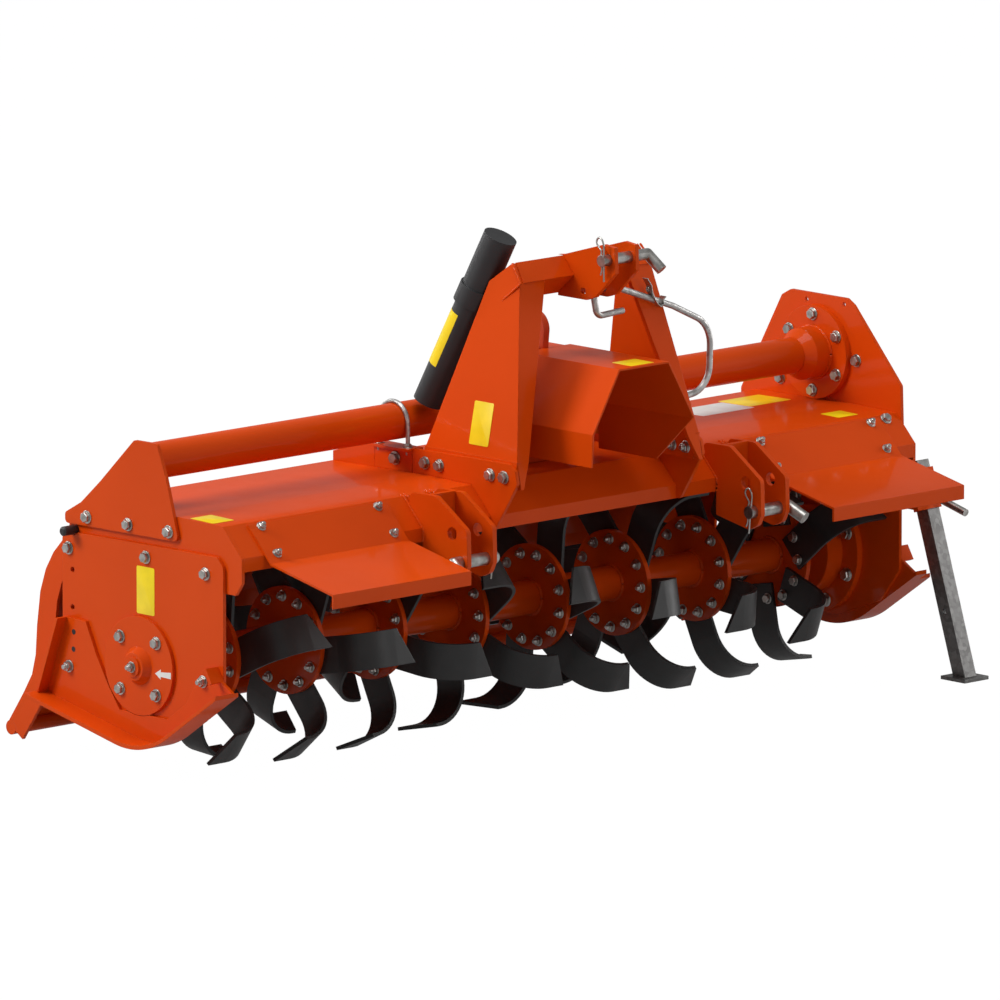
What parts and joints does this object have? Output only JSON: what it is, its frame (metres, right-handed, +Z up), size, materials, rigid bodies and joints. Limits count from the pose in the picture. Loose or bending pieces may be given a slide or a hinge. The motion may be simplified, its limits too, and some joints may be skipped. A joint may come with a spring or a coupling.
{
  "type": "rotary tiller",
  "caption": "Tractor-mounted rotary tiller with a bladed rotor under a steel hood, three-point headstock, hinged tailgate, skids and a parking stand.",
  "frame": {"origin": "on the floor, under the middle of the machine's box", "axes": "+X across the machine to the drive-case side, +Y to the rear, +Z up"},
  "size_m": [2.2096, 0.985, 1.1317],
  "materials": {
    "orange_paint": "gloss orange powder coat",
    "black_paint": "satin black paint",
    "dark_casting": "painted casting",
    "bare_steel": "machined and oiled",
    "zinc_plate": "zinc plated",
    "galvanised": "hot-dip galvanised",
    "black_plastic": "moulded"
  },
  "bodies": {
    "frame": {"hood": "orange_paint", "cheek_right": "orange_paint", "cheek_left": "orange_paint", "side_plate_right": "orange_paint", "side_plate_left": "orange_paint", "upper_plate_right": "orange_paint", "upper_plate_left": "orange_paint", "hinge_rod": "black_plastic", "bearing_cover": "orange_paint", "drive_case": "orange_paint", "skid_right": "orange_paint", "skid_left": "orange_paint", "cross_tube_right": "orange_paint", "cross_tube_left": "orange_paint", "gearbox": "dark_casting", "lifting_eye": "dark_casting", "shaft_guard": "orange_paint", "guard_plate": "orange_paint", "headstock_leg_right": "orange_paint", "headstock_leg_left": "orange_paint", "headstock_bar": "orange_paint", "top_link_ears": "orange_paint", "top_link_pin": "zinc_plate", "hood_bracket_right": "orange_paint", "hood_bracket_left": "orange_paint", "hitch_clevis_right": "orange_paint", "hitch_clevis_left": "orange_paint", "hitch_pin_right": "zinc_plate", "hitch_pin_left": "zinc_plate", "front_shelf_right": "orange_paint", "front_shelf_left": "orange_paint", "stand_sleeve": "orange_paint", "manual_tube": "black_plastic", "manual_tube_cap": "black_plastic", "shaft_hook": "galvanised", "tube_clamp_right": "orange_paint", "tube_clamp_left": "orange_paint", "bearing_housing": "orange_paint"},
    "rotor": {"rotor_shaft": "orange_paint", "rotor_tines": "black_paint"},
    "pto": {"input_shaft": "bare_steel"},
    "tailgate": {"tailgate": "orange_paint", "tailgate_edge": "orange_paint", "tailgate_hinges": "orange_paint"},
    "stand": {"stand_leg": "galvanised"}
  },
  "joints": [
    {"name": "rotor_spin", "type": "hinge", "parent": "frame", "child": "rotor", "pos_m": [-0.01475, 0.0335, 0.2548], "axis": [1, 0, 0], "continuous": true},
    {"name": "pto_spin", "type": "hinge", "parent": "frame", "child": "pto", "pos_m": [-0.01475, -0.2095, 0.6958], "axis": [0, -1, 0], "continuous": true},
    {"name": "tailgate_swing", "type": "hinge", "parent": "frame", "child": "tailgate", "pos_m": [-0.01475, 0.2465, 0.5228], "axis": [1, 0, 0], "range_deg": [0, 50]},
    {"name": "stand_slide", "type": "slide", "parent": "frame", "child": "stand", "axis": [0, 0.3107, 0.9505], "range_m": [0, 0.16]}
  ],
  "couplings": [
    {"joint": "pto_spin", "follows": "rotor_spin", "ratio": 2.35}
  ]
}
